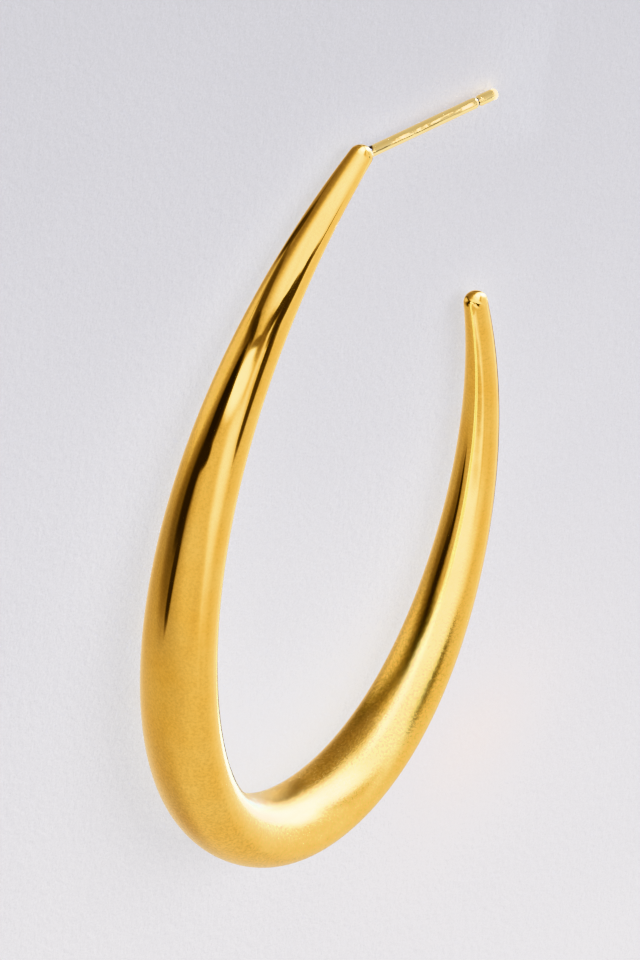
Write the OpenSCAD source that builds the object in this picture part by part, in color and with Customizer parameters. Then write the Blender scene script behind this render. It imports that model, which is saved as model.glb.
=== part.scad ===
// Tapered hoop earring with a straight ear post, lying on its side.
// Millimetres. X runs along the post, Y runs from the thick bottom bend to the two thin ends,
// Z is up, and the surface that the earring lies on is Z = 0.
// The origin is on that surface, under the middle of the earring's outline.

/* [Tube path] */
// Length of the tube's middle line, between the middles of its two round ends
tube_l = 114.3; // [100:0.1:125]
// Bend radius of the two nearly straight arms
arm_r = 46.1; // [42:0.1:60]
// Bend radius at the tightest place, the bottom of the hoop
bottom_r = 10.6; // [9.5:0.1:13]
// How far from the front end the tightest place is, along the tube
bottom_at = 66.9; // [62:0.1:72]
// How far along the tube the tight bend fades into the arms
bottom_spread = 13.7; // [12:0.1:15.5]
// Angle between the post and the tube's front end
post_turn = 43.1; // [35:0.1:60]

/* [Tube section] */
// Depth of the thickest section, in the plane of the hoop
belly_depth = 5.08; // [4:0.02:6]
// Width of the thickest section, across the plane of the hoop
belly_width = 7.18; // [5:0.02:8]
// Where the thickest section is, as a share of the tube's length
belly_at = 0.51; // [0.4:0.01:0.56]
// How full the section's depth stays on both sides of that place, 1 is a straight taper
depth_fullness = 1.25; // [1:0.01:1.8]
// How full its width stays towards the front end
front_fullness = 1.65; // [1.2:0.01:2]
// How full its width stays towards the rear end
rear_fullness = 1.2; // [1:0.01:2]
// Diameter of the round front end, which carries the post
front_d = 1.7; // [1.6:0.02:2.2]
// Diameter of the round rear end
rear_d = 1.76; // [1.2:0.02:2.2]

/* [Ear post] */
// Diameter of the post's wire
post_d = 0.8; // [0.7:0.01:1]
// Length of the post from the middle of the hoop's front end to its free end
post_l = 13.6; // [10:0.1:15]
// Diameter left at the bottom of the round groove that a nut clicks into
neck_d = 0.58; // [0.5:0.01:0.64]
// Width of the groove at the surface
groove_w = 0.56; // [0.5:0.01:0.7]
// Distance from the middle of the groove to the free end
groove_to_end = 1.95; // [1.5:0.01:2.5]
// Radius of the solder fillet at the post's foot
solder_r = 0.3; // [0.2:0.01:0.35]

/* [Rest] */
// Degrees that the hoop's plane dips towards its two thin ends, as it rests on its thick belly
dip = 2.24; // [0:0.01:5]
// Degrees that the hoop's plane dips from the front arm towards the thinner rear arm
roll = 2.34; // [0:0.01:5]

/* [Hidden] */

gold = [0.85, 0.64, 0.25];
pale_solder = [0.9, 0.78, 0.52];

// The tube is drawn as rings of points: along its middle line, round its section, over each end
steps = 80;
sides = 24;
dome_rings = 4;

round_fn = 48;
step_l = tube_l / steps;

// Share of the way from an end (0) to the thickest section (1), at place t along the tube (0 to 1)
function to_belly(t) = t < belly_at ? t / belly_at : (1 - t) / (1 - belly_at);
function swell(t, fullness) = 1 - pow(1 - to_belly(t), fullness);
function end_r(t) = (t < belly_at ? front_d : rear_d) / 2;
function half_depth(t) = end_r(t) + (belly_depth / 2 - end_r(t)) * swell(t, depth_fullness);
function half_width(t) =
    end_r(t) + (belly_width / 2 - end_r(t)) * swell(t, t < belly_at ? front_fullness : rear_fullness);

// Degrees that the tube turns in each millimetre, at the length s from its front end
function turning(s) =
    let (away = (s - bottom_at) / bottom_spread)
    180 / PI * (1 / arm_r + (1 / bottom_r - 1 / arm_r) * exp(-away * away));

// Direction of the tube at each station, from the front end to the rear end
headings = [
    for (i = 0, a = post_turn - 180; i <= steps;
        a = a + step_l * turning((i + 0.5) * step_l), i = i + 1)
        a
];

// Place of each station in the plane of the hoop, with the middle of the front end at 0, 0
function ahead(a) = [cos(a), sin(a)];
stations = [
    for (i = 0, p = [0, 0]; i <= steps;
        p = p + (i < steps ? step_l * ahead((headings[i] + headings[i + 1]) / 2) : [0, 0]), i = i + 1)
        p
];

// Place, in the hoop as it rests, of a point that lies at x, y in its plane and h above it
function resting(x, y, h) =
    let (dipped = h * cos(dip) - y * sin(dip))
    [x * cos(roll) + dipped * sin(roll), y * cos(dip) + h * sin(dip), dipped * cos(roll) - x * sin(roll)];

// One ring: its middle, the tube's direction there, and the section's half depth and half width
function ring(p, a, depth, width) =
    [for (k = [0 : sides - 1])
        let (turn = 360 * k / sides, in = depth * cos(turn))
        resting(p[0] + in * sin(a), p[1] - in * cos(a), width * sin(turn))];

// Ring on a round end: share runs from 0 at the tube to 1 at the rear tip, or -1 at the front tip
function dome_ring(p, a, r, share) =
    ring(p + r * sin(90 * share) * ahead(a), a, r * cos(90 * share), r * cos(90 * share));

front_tip = -front_d / 2 * ahead(headings[0]);
rear_tip = stations[steps] + rear_d / 2 * ahead(headings[steps]);

skin = [
    resting(front_tip[0], front_tip[1], 0),
    for (j = [dome_rings - 1 : -1 : 1])
        each dome_ring(stations[0], headings[0], front_d / 2, -j / dome_rings),
    for (i = [0 : steps])
        each ring(stations[i], headings[i], half_depth(i / steps), half_width(i / steps)),
    for (j = [1 : dome_rings - 1])
        each dome_ring(stations[steps], headings[steps], rear_d / 2, j / dome_rings),
    resting(rear_tip[0], rear_tip[1], 0)
];
rings = steps + 1 + 2 * (dome_rings - 1);

// Number of point k of ring i in the skin
function at(i, k) = 1 + i * sides + k % sides;

skin_faces = [
    for (k = [0 : sides - 1]) each concat(
        [[0, at(0, k + 1), at(0, k)]],
        [for (i = [0 : rings - 2]) [at(i, k), at(i + 1, k + 1), at(i + 1, k)]],
        [for (i = [0 : rings - 2]) [at(i, k), at(i, k + 1), at(i + 1, k + 1)]],
        [[at(rings - 1, k), at(rings - 1, k + 1), len(skin) - 1]])
];

// The shift that puts the middle of the outline over the origin and the lowest point on Z = 0
function lowest(axis) = min([for (p = skin) p[axis]]);
function highest(axis) = max([for (p = skin) p[axis]]);
to_origin = [-(lowest(0) + highest(0)) / 2, -(lowest(1) + highest(1)) / 2, -lowest(2)];

// The tapered tube, closed by a round end on each side
module tapered_tube() {
    color(gold) polyhedron(points = skin, faces = skin_faces, convexity = 6);
}

// Solder between the hoop's round front end and the post: a concave fillet round the post's axis
module solder_fillet() {
    rim_r = post_d / 2 + solder_r;
    sink = 0.06;
    rim_z = sqrt(pow(front_d / 2 + solder_r, 2) - pow(rim_r, 2)) - sink;
    foot_z = 0.2 * front_d;
    color(pale_solder) rotate_extrude($fn = round_fn) difference() {
        polygon([[0, foot_z], [rim_r * foot_z / rim_z, foot_z], [rim_r, rim_z], [0, rim_z]]);
        translate([rim_r, rim_z]) circle(r = solder_r, $fn = round_fn);
    }
}

// The straight wire post with a rolled groove near its domed free end
module ear_post() {
    post_r = post_d / 2;
    dome_at = post_l - post_r;
    depth = (post_d - neck_d) / 2;
    groove_r = (pow(depth, 2) + pow(groove_w / 2, 2)) / (2 * depth);
    color(gold) rotate_extrude($fn = round_fn) difference() {
        union() {
            square([post_r, dome_at]);
            intersection() {
                translate([0, dome_at]) circle(r = post_r, $fn = round_fn);
                translate([0, dome_at]) square(post_r);
            }
        }
        translate([neck_d / 2 + groove_r, post_l - groove_to_end]) circle(r = groove_r, $fn = round_fn);
    }
}

// One soldered piece: the tube, and the post along X from the middle of its front end
module hoop_and_post() {
    translate(to_origin) union() {
        tapered_tube();
        rotate([0, 90 + roll, 0]) {
            solder_fillet();
            ear_post();
        }
    }
}

hoop_and_post();
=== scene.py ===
from math import atan2, cos, exp, pi, radians, sin, sqrt

import bmesh
import bpy
from mathutils import Matrix, Vector


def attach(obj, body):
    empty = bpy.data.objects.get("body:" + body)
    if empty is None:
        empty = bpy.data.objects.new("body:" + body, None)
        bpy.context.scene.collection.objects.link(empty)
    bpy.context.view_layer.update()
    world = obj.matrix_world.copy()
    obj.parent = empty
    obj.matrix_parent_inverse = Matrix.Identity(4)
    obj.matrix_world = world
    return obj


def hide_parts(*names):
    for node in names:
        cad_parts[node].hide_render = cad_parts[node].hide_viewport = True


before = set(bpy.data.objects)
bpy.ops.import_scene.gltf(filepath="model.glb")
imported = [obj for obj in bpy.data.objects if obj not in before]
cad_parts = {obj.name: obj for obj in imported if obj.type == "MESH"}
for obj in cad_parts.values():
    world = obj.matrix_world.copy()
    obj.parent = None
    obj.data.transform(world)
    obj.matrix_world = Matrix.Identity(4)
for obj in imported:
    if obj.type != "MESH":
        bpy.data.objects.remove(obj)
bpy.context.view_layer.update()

# Hoop. A hollow tapered tube of gold-coloured metal, thickest round its bottom bend, with two thin
# round ends. It is bent to shape and then polished by hand: mirror bright on the arms, and a little
# satin round the thick bend, which is harder to reach. It is worked in mm, flat, before it rests.
TUBE_L = 114.3
ARM_R, BOTTOM_R, BOTTOM_AT, BOTTOM_SPREAD = 46.1, 10.6, 66.9, 13.7
POST_TURN = radians(43.1)
BELLY_DEPTH, BELLY_WIDTH, BELLY_AT = 5.08, 7.18, 0.51
DEPTH_FULLNESS, FRONT_FULLNESS, REAR_FULLNESS = 1.25, 1.65, 1.2
FRONT_D, REAR_D = 1.7, 1.76
DIP, ROLL = radians(2.24), radians(2.34)
FRONT_END = Vector((-0.156473, 28.952996, 1.186409))
STATIONS, SIDES, DOME_RINGS = 240, 72, 10
# A hair under full size, because these rings would lie a little outside the coarser solid's
SLIM = 0.9985
MM = 0.001


def half_sizes(t):
    """Half depth and half width of the tube at the share t of its length."""
    front = t < BELLY_AT
    end, share = (FRONT_D / 2, t / BELLY_AT) if front else (REAR_D / 2, (1 - t) / (1 - BELLY_AT))
    deep, wide = (1 - (1 - share) ** full for full in (
        DEPTH_FULLNESS, FRONT_FULLNESS if front else REAR_FULLNESS))
    return SLIM * (end + (BELLY_DEPTH / 2 - end) * deep), SLIM * (end + (BELLY_WIDTH / 2 - end) * wide)


def section(middle, heading, depth, width):
    """One cross-section of the tube: takes a circle of radius 1 to its place, turn and size."""
    upright = Matrix.Rotation(pi / 2, 4, "X")
    turn = Matrix.Rotation(heading, 4, "Z") @ Matrix.Rotation(pi / 2, 4, "Z") @ upright
    return Matrix.Translation(middle) @ turn @ Matrix.Diagonal((-depth, width, -1, 1))


sections = []
middle, heading, step = Vector((0, 0, 0)), POST_TURN - pi, TUBE_L / STATIONS
for i in range(STATIONS + 1):
    ahead = Vector((cos(heading), sin(heading), 0))
    depth, width = half_sizes(i / STATIONS)
    if i == 0:
        for j in range(DOME_RINGS - 1, 0, -1):
            back, out = depth * sin(j / DOME_RINGS * pi / 2), depth * cos(j / DOME_RINGS * pi / 2)
            sections.append((section(middle - back * ahead, heading, out, out), out, out, -back))
        front_tip = middle - depth * ahead
    sections.append((section(middle, heading, depth, width), depth, width, i * step))
    if i == STATIONS:
        for j in range(1, DOME_RINGS):
            on, out = depth * sin(j / DOME_RINGS * pi / 2), depth * cos(j / DOME_RINGS * pi / 2)
            sections.append((section(middle + on * ahead, heading, out, out), out, out, TUBE_L + on))
        rear_tip = middle + depth * ahead
    fade = ((i + 0.5) * step - BOTTOM_AT) / BOTTOM_SPREAD
    turn = step * (1 / ARM_R + (1 / BOTTOM_R - 1 / ARM_R) * exp(-fade * fade))
    middle = middle + step * Vector((cos(heading + turn / 2), sin(heading + turn / 2), 0))
    heading += turn

# The tube is drawn out ring by ring. Each point keeps its place in the straight tube, so that
# polishing lines and waves can follow the metal round the bend.
tube = bmesh.new()
straight = tube.verts.layers.float_vector.new("straight")
bmesh.ops.create_circle(tube, segments=SIDES, radius=1, matrix=sections[0][0])
ring, edges = tube.verts[:], tube.edges[:]
first_edges = edges[:]
for n, (now, depth, width, along) in enumerate(sections):
    if n > 0:
        drawn = bmesh.ops.extrude_edge_only(tube, edges=edges)["geom"]
        ring = [v for v in drawn if isinstance(v, bmesh.types.BMVert)]
        edges = [e for e in drawn if isinstance(e, bmesh.types.BMEdge) and all(v in ring for v in e.verts)]
        bmesh.ops.transform(tube, matrix=now @ sections[n - 1][0].inverted(), verts=ring)
    flat = now.inverted()
    for v in ring:
        unit = flat @ v.co
        v[straight] = (unit.x * depth, unit.y * width, along)
for end_edges, tip, along in (
        (first_edges, front_tip, -FRONT_D / 2), (edges, rear_tip, TUBE_L + REAR_D / 2)):
    drawn = bmesh.ops.extrude_edge_only(tube, edges=end_edges)["geom"]
    cap = [v for v in drawn if isinstance(v, bmesh.types.BMVert)]
    for v in cap:
        v[straight] = (0, 0, along)
    bmesh.ops.pointmerge(tube, verts=cap, merge_co=tip)

# From the plane of the hoop to the attitude in which it rests, and to metres
RESTING = Matrix.Scale(MM, 4) @ Matrix.Translation(FRONT_END)
bmesh.ops.transform(
    tube, matrix=RESTING @ Matrix.Rotation(ROLL, 4, "Y") @ Matrix.Rotation(-DIP, 4, "X"), verts=tube.verts)


def finished(name, shape, finish):
    """Turns a closed shape into a smooth piece with its finish."""
    bmesh.ops.remove_doubles(shape, verts=shape.verts, dist=1e-8)
    bmesh.ops.recalc_face_normals(shape, faces=shape.faces)
    mesh = bpy.data.meshes.new(name)
    shape.to_mesh(mesh)
    shape.free()
    mesh.shade_smooth()
    mesh.materials.append(finish)
    piece = bpy.data.objects.new(name, mesh)
    bpy.context.scene.collection.objects.link(piece)
    return piece


def add(tree, kind, inputs=None, **settings):
    """Adds a node; each of its inputs is a value or another node's output."""
    node = tree.nodes.new("ShaderNode" + kind)
    for key, value in settings.items():
        setattr(node, key, value)
    for key, value in (inputs or {}).items():
        if isinstance(value, bpy.types.NodeSocket):
            tree.links.new(value, node.inputs[key])
        else:
            node.inputs[key].default_value = value
    return node


def new_finish(name):
    """An empty material, with the shader that it ends in."""
    finish = bpy.data.materials.new(name)
    finish.use_nodes = True
    return finish, finish.node_tree, finish.node_tree.nodes["Principled BSDF"]


def noise(tree, place, scale, detail, roughness=0.5):
    """Smooth random change over the surface, round 0.5."""
    values = {"Vector": place, "Scale": scale, "Detail": detail, "Roughness": roughness}
    return add(tree, "TexNoise", values).outputs["Fac"]


def remap(tree, value, start, end, to_start=0, to_end=1, **settings):
    """Takes a value from the span between start and end to another span, and holds it there."""
    spans = {"Value": value, "From Min": start, "From Max": end, "To Min": to_start, "To Max": to_end}
    return add(tree, "MapRange", spans, **settings).outputs["Result"]


def calc(tree, operation, *values):
    """Does a sum with numbers or with nodes' outputs."""
    return add(tree, "Math", dict(enumerate(values)), operation=operation).outputs["Value"]


def scaled(tree, colour, amount):
    """A colour made darker or lighter."""
    return add(tree, "VectorMath", {0: colour, "Scale": amount}, operation="SCALE").outputs["Vector"]


def ramp(tree, value, stops, blend="LINEAR"):
    """A colour ramp on a value; each stop is a place from 0 to 1, and a grey or a colour."""
    node = add(tree, "ValToRGB", {"Fac": value})
    node.color_ramp.interpolation = blend
    for n, (place, colour) in enumerate(stops):
        stop = node.color_ramp.elements[n] if n < 2 else node.color_ramp.elements.new(place)
        stop.position = place
        stop.color = (*colour, 1) if isinstance(colour, tuple) else (colour, colour, colour, 1)
    return node.outputs["Color"]


def bump(tree, height, metres, strength=1, over=None):
    """A surface that rises by up to so many metres, over an earlier one if there is one."""
    values = {"Height": height, "Strength": strength, "Distance": metres}
    if over is not None:
        values["Normal"] = over
    return add(tree, "Bump", values).outputs["Normal"]


def make_metal(tree, shader, colour, roughness, surface):
    """Makes a finish a metal of this colour, roughness and surface."""
    for socket, value in (("Base Color", colour), ("Roughness", roughness), ("Normal", surface)):
        tree.links.new(value, shader.inputs[socket])
    shader.inputs["Metallic"].default_value = 1


SATIN_ROUGH = 0.14
WAVES_M, LINES_M, GRAIN_M = 0.00005, 0.0000008, 0.000014
gold, t, shader = new_finish("hand_polished_gold")
place = add(t, "Attribute", attribute_name="straight").outputs["Vector"]
along = add(t, "SeparateXYZ", {"Vector": place}).outputs["Z"]
# Slight changes of colour in the plating
patches = noise(t, place, 0.3, 4, 0.55)
plating = ramp(t, patches, [(0.3, (0.99, 0.63, 0.168)), (0.7, (1.0, 0.69, 0.22))])
# Satin round the thick bend, with fine darker specks, which are fainter on the arms
SATIN_PLACES = [(0.30, 0.0), (0.52, 1.0), (0.70, 1.0), (0.84, 0.0)]
satin = ramp(t, calc(t, "DIVIDE", along, TUBE_L), SATIN_PLACES, "EASE")
specks = remap(t, noise(t, place, 5, 3, 0.7), 0.35, 0.65, 0.26, 0)
specks = calc(t, "MULTIPLY", specks, remap(t, satin, 0, 1, 0.6, 1))
colour = scaled(t, plating, calc(t, "SUBTRACT", 1, specks))
smear = noise(t, place, 0.9, 5, 0.6)
rough = calc(t, "MULTIPLY_ADD", satin, SATIN_ROUGH, remap(t, smear, 0.3, 0.7, 0.03, 0.06))
# Long shallow waves left by bending and polishing, fine lines along the tube, and a fine grain
wavy = bump(t, noise(t, place, 0.16, 2, 0.4), WAVES_M)
drawn_out = add(t, "Mapping", {"Vector": place, "Scale": (5, 5, 0.35)}).outputs["Vector"]
lined = bump(t, noise(t, drawn_out, 1, 3), LINES_M, over=wavy)
grained = bump(t, noise(t, place, 6, 4, 0.7), GRAIN_M, remap(t, satin, 0, 1, 0.02, 1), over=lined)
make_metal(t, shader, colour, rough, grained)

hoop = finished("hoop", tube, gold)
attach(hoop, "root")
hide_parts("hoop_and_post")

# Ear post. A straight drawn wire with a domed free end and a rolled groove near it, into which an
# ear nut clicks. It is made apart and soldered to the hoop's front end. Its foot is inside the hoop.
POST_R, POST_L, POST_FOOT = 0.4, 13.6, 0.3
NECK_R, GROOVE_W, GROOVE_TO_END = 0.29, 0.56, 1.95
SHAFT_RINGS, GROOVE_RINGS, TIP_RINGS = 40, 8, 12
# How far the groove's two edges are rounded over
ROUNDED = 0.05
NEARLY = 1e-4
AS_POST = RESTING @ Matrix.Rotation(pi / 2 + ROLL, 4, "Y")


def turned(outline, steps=64):
    """Turns an outline, given as points of radius and length, about its own length."""
    shape = bmesh.new()
    points = [shape.verts.new((r, 0, z)) for r, z in outline]
    edges = [shape.edges.new(pair) for pair in zip(points, points[1:])]
    bmesh.ops.spin(shape, geom=points + edges, cent=(0, 0, 0), axis=(0, 0, 1), angle=2 * pi, steps=steps,
                   use_merge=True)
    bmesh.ops.remove_doubles(shape, verts=shape.verts, dist=1e-5)
    return shape


groove_at = POST_L - GROOVE_TO_END
dip_depth = POST_R - NECK_R
groove_r = (dip_depth ** 2 + (GROOVE_W / 2) ** 2) / (2 * dip_depth)
groove_half = atan2(GROOVE_W / 2, groove_r - dip_depth)
shaft_l = groove_at - GROOVE_W / 2 - POST_FOOT
outline = [(0, POST_FOOT), (POST_R, POST_FOOT)]
outline += [(POST_R, POST_FOOT + k * shaft_l / SHAFT_RINGS) for k in range(1, SHAFT_RINGS + 1)]
for k in range(1 - GROOVE_RINGS, GROOVE_RINGS):
    a = groove_half * k / GROOVE_RINGS
    outline.append((NECK_R + groove_r * (1 - cos(a)), groove_at + groove_r * sin(a)))
outline += [(POST_R, groove_at + GROOVE_W / 2), (POST_R, POST_L - POST_R)]
for k in range(1, TIP_RINGS):
    a = k * pi / (2 * TIP_RINGS)
    outline.append((POST_R * cos(a), POST_L - POST_R + POST_R * sin(a)))
outline.append((0, POST_L))
wire = turned(outline)
shoulders = [e for e in wire.edges if all(
    abs(abs(v.co.z - groove_at) - GROOVE_W / 2) < NEARLY and abs(v.co.xy.length - POST_R) < NEARLY
    for v in e.verts)]
bmesh.ops.bevel(wire, geom=shoulders, offset=ROUNDED, segments=4, profile=0.5, affect="EDGES", material=-1)
bmesh.ops.transform(wire, matrix=AS_POST, verts=wire.verts)


def far_along(tree, place, way):
    """How far a place lies along a direction."""
    return add(tree, "VectorMath", {0: place, 1: way}, operation="DOT_PRODUCT").outputs["Value"]


def from_front_end(tree, place):
    """A place, counted from the middle of the hoop's front end."""
    return add(tree, "VectorMath", {0: place, 1: FRONT_END * MM}, operation="SUBTRACT").outputs["Vector"]


def mixed(tree, share, first, second, kind="VECTOR"):
    """The first colour, with this share of the second one in its place; or numbers for colours."""
    return add(tree, "Mix", {"Factor": share, "A": first, "B": second}, data_type=kind).outputs["Result"]


# Directions that turn metres into mm: along the post, and square to it, towards the side that is upper in
# the camera's view, where shade is painted
ALONG_POST = Vector((1000 * cos(ROLL), 0, -1000 * sin(ROLL)))
SHADED_SIDE = Vector((0, 674, -738))
# The painted shade is darkest next to the hoop and on the side upper in the camera's view
JOIN_SHADE_WAY, JOIN_SHADE_FROM, JOIN_SHADE_TO = SHADED_SIDE + Vector((-1200, 0, 0)), -1.12, -0.97
GROOVE_SHADE_AT, GROOVE_SHADE_HALF = groove_at - 0.08, 0.1
SCRATCHES_M, DENTS_M = 0.000018, 0.00005
wire_gold, t, shader = new_finish("drawn_gold_wire")
place = add(t, "TexCoord").outputs["Object"]
shade = noise(t, place, 900, 3)
colour = ramp(t, shade, [(0.3, (1.0, 0.68, 0.24)), (0.7, (1.0, 0.74, 0.31))])
# Painted shade, dark brown, in the join round its foot, which reaches furthest, over 1 mm, on the side
# upper in the camera's view
join_shade = remap(t, far_along(t, from_front_end(t, place), JOIN_SHADE_WAY), JOIN_SHADE_FROM, JOIN_SHADE_TO)
colour = mixed(t, join_shade, colour, (0.08, 0.04, 0.02))
# Painted shade in the groove's recess, on its foot side
on_wire = far_along(t, from_front_end(t, place), ALONG_POST)
groove_shade = calc(t, "COMPARE", on_wire, GROOVE_SHADE_AT, GROOVE_SHADE_HALF)
colour = mixed(t, groove_shade, colour, (0.05, 0.03, 0.015))
rough = remap(t, shade, 0.3, 0.7, 0.03, 0.07)
drawn_out = add(t, "Mapping", {"Vector": place, "Scale": (500, 7000, 7000)}).outputs["Vector"]
scratched = bump(t, noise(t, drawn_out, 1, 3), SCRATCHES_M)
dented = bump(t, noise(t, place, 700, 1), DENTS_M, over=scratched)
make_metal(t, shader, colour, rough, dented)

post = finished("ear_post", wire, wire_gold)
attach(post, "root")
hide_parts("hoop_and_post")

# Solder. A little ring of paler hard solder that fills the corner between the round end and the
# post. It was drawn in by heat, so its surface is hollow and a little uneven.
SOLDER_R, SUNK = 0.3, 0.06
FOOT_R, FOOT_AT = 0.36, 0.45
INTO_WIRE, OVER_RIM = 0.05, 0.01
RAGGED, UNEVEN_M = 0.6, 0.00004
rim_r = POST_R + SOLDER_R
rim_z = sqrt((FRONT_D / 2 + SOLDER_R) ** 2 - rim_r ** 2) - SUNK
outline = [(0, POST_FOOT), (FOOT_R, FOOT_AT)]
for a in (radians(d) for d in range(72, -1, -8)):
    outline.append((rim_r - SOLDER_R * cos(a), rim_z - SOLDER_R * sin(a)))
outline += [(POST_R - INTO_WIRE, rim_z + OVER_RIM), (0, rim_z + OVER_RIM)]
fillet = turned(outline)
bmesh.ops.transform(fillet, matrix=AS_POST, verts=fillet.verts)

solder_finish, t, shader = new_finish("pale_solder")
place = add(t, "TexCoord").outputs["Object"]
blotch = noise(t, place, 2500, 4)
# Painted shade, brown to near black, in a ragged patch on the side upper in the camera's view, where the
# solder meets the hoop's end
solder_shade = calc(t, "MULTIPLY_ADD", blotch, RAGGED, far_along(t, from_front_end(t, place), SHADED_SIDE))
colour = ramp(t, solder_shade, [(0.05, (1.0, 0.79, 0.42)), (0.3, (0.86, 0.60, 0.27)), (0.37, (0.3, 0.15, 0.07)),
                         (0.45, (0.03, 0.015, 0.01))])
make_metal(t, shader, colour, remap(t, blotch, 0, 1, 0.15, 0.35), bump(t, blotch, UNEVEN_M))

solder = finished("solder", fillet, solder_finish)
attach(solder, "root")
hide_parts("hoop_and_post")

# Floor. One large round sheet of pale, lightly grained paper, laid flat, a hair under the metal
# that lies on it. The metal doesn't mirror it: the soft boxes below stand for all that it mirrors.
FLOOR_R, UNDER = 1.6, 0.00002
CLOUDS, PULP_M = 0.02, 0.00015
sheet = bmesh.new()
bmesh.ops.create_circle(
    sheet, cap_ends=True, segments=96, radius=FLOOR_R, matrix=Matrix.Translation((0, 0, -UNDER)))
paper, t, shader = new_finish("pale_paper")
place = add(t, "TexCoord").outputs["Object"]
# Painted light: the paper pales, from cool grey to warm white, from beyond the two ends towards the bend,
# with faint clouds in it
TO_BEND = (-0.3, -0.95, 0)
painted_light_and_clouds = calc(t, "MULTIPLY_ADD", noise(t, place, 60, 3), CLOUDS, far_along(t, place, TO_BEND))
shade = ramp(t, remap(t, painted_light_and_clouds, -0.045, 0.065),
             [(0, (0.64, 0.635, 0.67)), (0.5, (0.75, 0.74, 0.77)), (1, (0.85, 0.83, 0.84))])
fleck = remap(t, noise(t, place, 6500, 3, 0.7), 0.3, 0.7, 0.955, 1.045)
t.links.new(scaled(t, shade, fleck), shader.inputs["Base Color"])
t.links.new(bump(t, noise(t, place, 1500, 4, 0.65), PULP_M), shader.inputs["Normal"])
shader.inputs["Roughness"].default_value = 0.9
shader.inputs["Specular IOR Level"].default_value = 0.1
mesh = bpy.data.meshes.new("floor")
sheet.to_mesh(mesh)
sheet.free()
mesh.materials.append(paper)
floor = bpy.data.objects.new("floor", mesh)
bpy.context.scene.collection.objects.link(floor)
floor.visible_glossy = False

# Camera. It is at the photo's angle to the hoop, which lies here on its side, so the camera is
# rolled over; RIGHT, UP and BACK are its own directions in the earring's frame.
RIGHT = Vector((0.72557932, 0.09672527, 0.68130674))
UP = Vector((0.34181248, 0.80863451, -0.47882612))
BACK = Vector((-0.59724273, 0.58030548, 0.55366658))
CAMERA_AT = (-0.24038243, 0.235074, 0.22372524)
lens = bpy.data.cameras.new("camera")
lens.lens, lens.sensor_width, lens.sensor_fit = 213, 36, "AUTO"
lens.clip_start, lens.clip_end = 0.01, 10
camera = bpy.data.objects.new("camera", lens)
camera.matrix_world = Matrix.Translation(CAMERA_AT) @ Matrix((RIGHT, UP, BACK)).transposed().to_4x4()
bpy.context.scene.collection.objects.link(camera)
bpy.context.scene.camera = camera

# Lamps. A soft key lamp and a lamp overhead cast the faint shadow, and a large fill, which casts
# none, keeps it faint. They light the paper alone: the metal mirrors the soft boxes further below.
for name, watts, size, azimuth, height, tint, casts in (
        ("key", 2.6, 0.9, 40, 50, (1, 0.97, 0.93), True),
        ("overhead", 4.5, 2.0, 0, 84, (0.97, 0.98, 1), True),
        ("fill", 29.5, 2.0, 0, 84, (0.98, 0.98, 1), False)):
    lamp = bpy.data.lights.new(name, "AREA")
    lamp.energy, lamp.size, lamp.color, lamp.use_shadow = watts, size, tint, casts
    lamp_at = bpy.data.objects.new(name, lamp)
    level, rise = cos(radians(height)), sin(radians(height))
    way = Vector((cos(radians(azimuth)) * level, sin(radians(azimuth)) * level, rise))
    lamp_at.matrix_world = Matrix.Translation(way) @ way.to_track_quat("Z", "Y").to_matrix().to_4x4()
    lamp_at.visible_glossy = False
    bpy.context.scene.collection.objects.link(lamp_at)
# The warm light that the thick bend throws on the paper beside it
THROWN_WATTS, THROWN_SIZE, THROWN_AT = 0.0005, 0.002, (0.0215, -0.0325, 0.0075)
glow = bpy.data.lights.new("thrown_light", "POINT")
glow.energy, glow.shadow_soft_size, glow.color = THROWN_WATTS, THROWN_SIZE, (1, 0.68, 0.42)
glow.use_shadow = False
glow_at = bpy.data.objects.new("thrown_light", glow)
glow_at.location = THROWN_AT
glow_at.visible_glossy = False
bpy.context.scene.collection.objects.link(glow_at)

# Card. A white card that stands between the arms, so close that only the rear arm mirrors it. It
# shines on one side, its edges fade, and it is seen in the metal alone. Places and sizes in mm.
CARD_MIDDLE, CARD_LONG, CARD_HIGH = (-2, -15.15, 17), 12.3, 26


def put_up(name, shape, tree, board, cover, light):
    """Puts up a board whose inner side shines, where it has cover, for the metal to mirror."""
    inner = calc(tree, "SUBTRACT", 1, add(tree, "NewGeometry").outputs["Backfacing"])
    clear = add(tree, "BsdfTransparent").outputs["BSDF"]
    lit = add(tree, "Emission", {"Color": light}).outputs["Emission"]
    lit = add(tree, "MixShader", {"Fac": calc(tree, "MULTIPLY", inner, cover), 1: clear, 2: lit})
    add(tree, "OutputMaterial", {"Surface": lit.outputs["Shader"]})
    mesh = bpy.data.meshes.new(name)
    shape.to_mesh(mesh)
    shape.free()
    mesh.materials.append(board)
    card = bpy.data.objects.new(name, mesh)
    bpy.context.scene.collection.objects.link(card)
    card.visible_camera = card.visible_diffuse = card.visible_shadow = card.visible_transmission = False


sheet = bmesh.new()
sheet.loops.layers.uv.new("edges")
# Its length lies along Y and its height along Z, and it faces +X
bmesh.ops.create_grid(
    sheet, x_segments=1, y_segments=1, size=0.5, calc_uvs=True,
    matrix=Matrix.Scale(MM, 4) @ Matrix.Translation(CARD_MIDDLE) @ Matrix.Rotation(pi / 2, 4, "Z")
    @ Matrix.Rotation(pi / 2, 4, "X") @ Matrix.Diagonal((CARD_LONG, CARD_HIGH, 1, 1)))
board, t, _ = new_finish("white_card")
t.nodes.clear()
across = add(t, "SeparateXYZ", {"Vector": add(t, "UVMap", uv_map="edges").outputs["UV"]}).outputs
# One of its two upright edges leans
LEAN = 0.353
leaning = calc(t, "MULTIPLY_ADD", across["Y"], LEAN, across["X"])
cover = 1
for way, edge, full in (
        (across["X"], 0, 0.18), (leaning, 0.975, 0.853), (across["Y"], 0, 0.04), (across["Y"], 1, 0.3)):
    cover = calc(t, "MULTIPLY", cover, remap(t, way, edge, full, interpolation_type="SMOOTHSTEP"))
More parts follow.
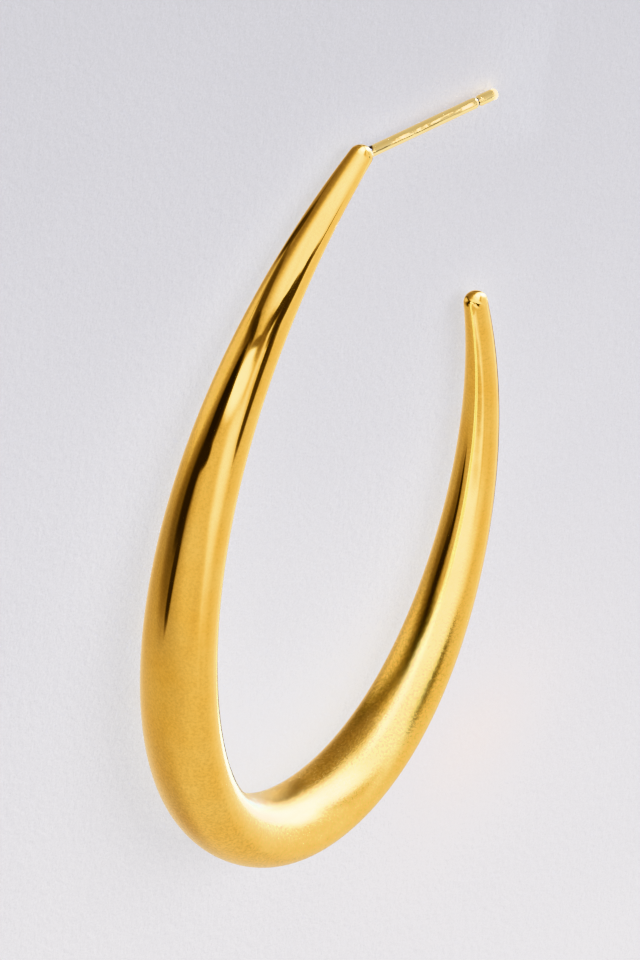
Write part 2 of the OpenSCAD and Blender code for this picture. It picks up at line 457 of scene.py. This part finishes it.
# Its light falls off with distance, so the far tip of the rear arm mirrors little of it
FALLS_FROM, FALLS_TO, LEFT_OVER = 0.027, 0.031, 0.3
reach = remap(t, add(t, "LightPath").outputs["Ray Length"], FALLS_FROM, FALLS_TO, 1, LEFT_OVER)
put_up("white_card", sheet, t, board, calc(t, "MULTIPLY", cover, reach), (2.8, 3.3, 3.6, 1))

# Tent. A little tube of paper round the post, which only the post and its solder mirror: pale under
# it, greyer over it, with one dark slit, a strip of small bright gaps, and a bright far end.
TENT_R, TENT_FROM, TENT_TO = 6, 4.9, 19.5
TENT_TURN = radians(-47.6)
# In metres: where its far end begins, and how far its light reaches, which is to the post and its
# solder alone
END_FROM, REACHES = 0.0186, 0.009
tent = bmesh.new()
bmesh.ops.create_cone(
    tent, cap_ends=True, segments=48, radius1=TENT_R, radius2=TENT_R, depth=TENT_TO - TENT_FROM,
    matrix=AS_POST @ Matrix.Translation((0, 0, (TENT_FROM + TENT_TO) / 2)))
mouth = min((f for f in tent.faces if len(f.verts) > 4), key=lambda f: f.calc_center_median().x)
bmesh.ops.delete(tent, geom=[mouth], context="FACES_ONLY")
bmesh.ops.reverse_faces(tent, faces=tent.faces)
board, t, _ = new_finish("tent_paper")
t.nodes.clear()
place = add(t, "TexCoord").outputs["Object"]
on_post = add(t, "Mapping", {"Vector": place, "Location": FRONT_END * MM, "Rotation": (TENT_TURN, ROLL, 0)},
              vector_type="TEXTURE").outputs["Vector"]
way = add(t, "SeparateXYZ", {"Vector": on_post}).outputs
share = remap(t, calc(t, "ARCTAN2", way["Y"], way["Z"]), -pi, pi)
walls = ramp(t, share, [
    (0, 0.35), (0.144, 0.55), (0.22, (0.64, 0.73, 0.85)), (0.295, (0.64, 0.73, 0.85)), (0.328, 0.40),
    (0.353, 0.36), (0.393, (0.40, 0.43, 0.50)), (0.48, (0.37, 0.38, 0.40)), (0.55, 0.35), (0.619, 0.32),
    (0.747, 0.35), (0.836, 0.4), (1, 0.4)])
# The slit is open near the post's foot, and half closes towards its free end
slit = ramp(t, share, [(0.353, 0), (0.362, 1), (0.382, 1), (0.392, 0)])
slit = calc(t, "MULTIPLY", slit, remap(t, way["X"], 0.007, 0.013, 1, 0.5))
walls = mixed(t, slit, scaled(t, walls, 2), (0.02, 0.01, 0.01))
# The gaps are small holes and three short windows, all in one strip
holes = remap(t, noise(t, on_post, 700, 1), 0.6, 0.66)
windows = ramp(t, calc(t, "MULTIPLY", way["X"], 50), [
    (0.415, 0), (0.425, 1), (0.45, 1), (0.46, 0), (0.52, 0), (0.525, 1), (0.535, 1), (0.54, 0),
    (0.74, 0), (0.75, 1), (0.775, 1), (0.785, 0)])
strip = ramp(t, share, [(0.395, 0), (0.41, 1), (0.51, 1), (0.55, 0)])
bright = calc(t, "MULTIPLY", calc(t, "MAXIMUM", holes, windows), strip)
bright = calc(t, "MAXIMUM", bright, calc(t, "GREATER_THAN", way["X"], END_FROM))
walls = mixed(t, bright, walls, (6, 6.5, 7))
near = calc(t, "LESS_THAN", add(t, "LightPath").outputs["Ray Length"], REACHES)
put_up("tent", tent, t, board, near, walls)

# Soft boxes and dark flags all round the earring, for the metal to mirror. A direction is folded
# half-way to BACK, and its share of RIGHT and UP is its place on a round map. Each line is one box
# or flag: its place, turn in degrees, half sizes, softness of its edge, and stops of light.
SOFT_BOXES = (
    (-0.28, -1.19, -57, 0.82, 0.11, 0.98, -0.96),
    (1.09, 0.74, 111, 1.60, 0.60, 0.98, 1.27),
    (-0.39, 0.10, 98, 0.57, 0.36, 0.45, -2.11),
    (-0.40, 0.27, -126, 0.59, 0.43, 0.36, -1.85),
    (0.16, 0.37, -1, 0.39, 0.23, 0.95, 2.20),
    (0.42, 0.59, -6, 0.45, 0.156, 0.56, 4.1),
    (0.37, 0.15, 79, 0.45, 0.096, 0.92, -0.61),
    (0.01, 0.03, -20, 0.50, 0.166, 0.44, 0.92),
    (-0.10, -0.31, -23, 0.31, 0.076, 0.96, 0.98),
    (-0.31, -0.31, 46, 0.245, 0.338, 0.63, -0.26),
    (0.70, -0.51, 67, 0.55, 0.037, 0.75, 0.06),
    (-0.15, 0.65, 25, 0.28, 0.127, 0.98, -1.39),
    (-0.02, -0.22, -64, 0.25, 0.054, 0.88, 0.51),
    (-0.31, -0.065, -19, 0.18, 0.060, 0.35, 1.51),
    (-0.08, -0.28, -39, 0.17, 0.062, 0.80, 0.86),
    (-0.26, -0.028, -22, 0.16, 0.012, 0.30, -2.0),
    (-0.054, -0.067, -12, 0.19, 0.022, 0.30, -4.0),
    (0.18, -0.151, -10, 0.19, 0.038, 0.30, -4.0),
    (0.14, -0.19, -48, 0.10, 0.050, 0.35, -4.5),
    (0.205, -0.27, -30, 0.09, 0.065, 0.35, -3.8),
    (-0.70, -0.09, -79, 0.21, 0.099, 0.45, -2.6),
    (-0.556, -0.016, -2, 0.087, 0.092, 0.35, -5.0),
    (-0.574, -0.006, 59, 0.118, 0.055, 0.35, -6.0),
    (-0.562, -0.091, -26, 0.072, 0.021, 0.40, -5.5),
    (-0.633, -0.258, 86, 0.087, 0.034, 0.35, -5.0),
    (-0.758, 0.223, 80, 0.187, 0.137, 0.55, -0.10),
    (-0.694, 0.447, -26, 0.10, 0.040, 0.35, -4.2),
    (-0.601, 0.233, 118, 0.147, 0.045, 0.35, -3.2),
    (-0.51, 0.121, -41, 0.10, 0.019, 0.35, -4.5),
    (0.242, 0.579, 14, 0.28, 0.141, 0.63, 2.9),
    (-0.18, -0.06, -30, 0.09, 0.033, 0.9, -1.93),
    (-0.655, -0.11, 91, 0.089, 0.060, 0.40, -5.5),
    (0.022, 0.316, -54, 0.25, 0.082, 0.94, 1.61),
    (0.384, 0.332, 88, 0.19, 0.048, 0.57, -0.48),
    (0.673, 0.098, 105, 0.31, 0.153, 0.72, 0.19),
    (0.426, -0.192, -9, 0.115, 0.010, 0.40, -2.5),
    (-0.678, 0.372, 71, 0.156, 0.021, 0.35, -3.8),
    (-0.746, 0.225, 69, 0.157, 0.034, 0.55, -0.11),
    (0.57, 0.63, -15, 0.17, 0.085, 0.45, 5.4),
    (0.945, 0.29, 111, 0.11, 0.035, 0.5, 5.5),
    (0.10, 0.87, -3, 0.36, 0.045, 0.4, -2.0),
)
PLAIN_STOPS, RIM_STOPS, DARK_STOPS = -0.27, -0.3, -2.6
EXPOSURE = 2.18
studio = bpy.data.worlds.new("studio")
studio.use_nodes = True
bpy.context.scene.world = studio
t = studio.node_tree
t.nodes.clear()
seen = add(t, "TexCoord").outputs["Generated"]
half_way = add(t, "VectorMath", {0: seen, 1: BACK}, operation="ADD").outputs["Vector"]
half_way = add(t, "VectorMath", {0: half_way}, operation="NORMALIZE").outputs["Vector"]
across, up = far_along(t, half_way, RIGHT), far_along(t, half_way, UP)
on_map = add(t, "CombineXYZ", {"X": across, "Y": up}).outputs["Vector"]
stops = PLAIN_STOPS
for x, y, turn, half_a, half_b, soft, value in SOFT_BOXES:
    box = add(t, "Mapping", {"Vector": on_map, "Location": (x, y, 0), "Rotation": (0, 0, radians(turn)),
                             "Scale": (half_a, half_b, 1)}, vector_type="TEXTURE").outputs["Vector"]
    away = add(t, "VectorMath", {0: box}, operation="LENGTH").outputs["Value"]
    share = remap(t, away, 1 + soft, 1 - soft, interpolation_type="SMOOTHSTEP")
    stops = mixed(t, share, stops, value, "FLOAT")
# The map's rim is plain, but for a dark gap far round on the right, which draws a thin dark line
# along the metal's edges there
from_middle = add(t, "VectorMath", {0: on_map}, operation="LENGTH").outputs["Value"]
stops = mixed(t, remap(t, from_middle, 0.93, 0.99), stops, RIM_STOPS, "FLOAT")
gap = calc(t, "MULTIPLY", remap(t, across, 0.962, 0.975), remap(t, up, 0.14, 0.04))
stops = mixed(t, gap, stops, DARK_STOPS, "FLOAT")
light = calc(t, "MULTIPLY", calc(t, "POWER", 2, stops), EXPOSURE)
# Dim light is warm and strong light is cool
tint = ramp(t, remap(t, stops, -3.5, 3), [
    (0, (0.5, 0.35, 0.375)), (0.26, (0.505, 0.37, 0.335)), (0.45, (0.515, 0.43, 0.31)),
    (0.54, (0.515, 0.475, 0.36)), (0.66, (0.48, 0.54, 0.57)), (0.78, (0.45, 0.56, 0.675)),
    (1, (0.45, 0.60, 1.0))])
path = add(t, "LightPath").outputs
shown = add(t, "Background", {"Color": tint, "Strength": light}).outputs["Background"]
# Metal that is mirrored in metal has a plainer room in it, with one bright window and one dim flag
WINDOW_WAY, FLAG_WAY = (0.35, 0.93, -0.12), (0.93, 0.1, -0.36)
window = remap(t, far_along(t, seen, WINDOW_WAY), 0.72, 0.88)
flag = remap(t, far_along(t, seen, FLAG_WAY), 0.97, 0.99)
room = mixed(t, window, mixed(t, flag, (1.9, 3.6, 9.1), (0.9, 1.6, 4)), (12, 24, 120))
room = add(t, "Background", {"Color": room, "Strength": 1}).outputs["Background"]
twice = calc(t, "GREATER_THAN", path["Glossy Depth"], 1.5)
shown = add(t, "MixShader", {"Fac": twice, 1: shown, 2: room}).outputs["Shader"]
# Metal that lights the paper beside it has one plain light in it
room = add(t, "Background", {"Color": (0.6, 0.85, 2.2, 1), "Strength": 1.1}).outputs["Background"]
by_paper = calc(t, "GREATER_THAN", path["Diffuse Depth"], 0.5)
shown = add(t, "MixShader", {"Fac": by_paper, 1: shown, 2: room}).outputs["Shader"]
# And beyond the paper's edge there is a pale wall
wall = add(t, "Background", {"Color": (0.76, 0.76, 0.77, 1), "Strength": 1}).outputs["Background"]
shown = add(t, "MixShader", {"Fac": path["Is Camera Ray"], 1: shown, 2: wall}).outputs["Shader"]
add(t, "OutputWorld", {"Surface": shown})
studio.cycles_visibility.diffuse = False
studio.cycles.sampling_method = "NONE"
bpy.context.scene.view_settings.view_transform = "Khronos PBR Neutral"
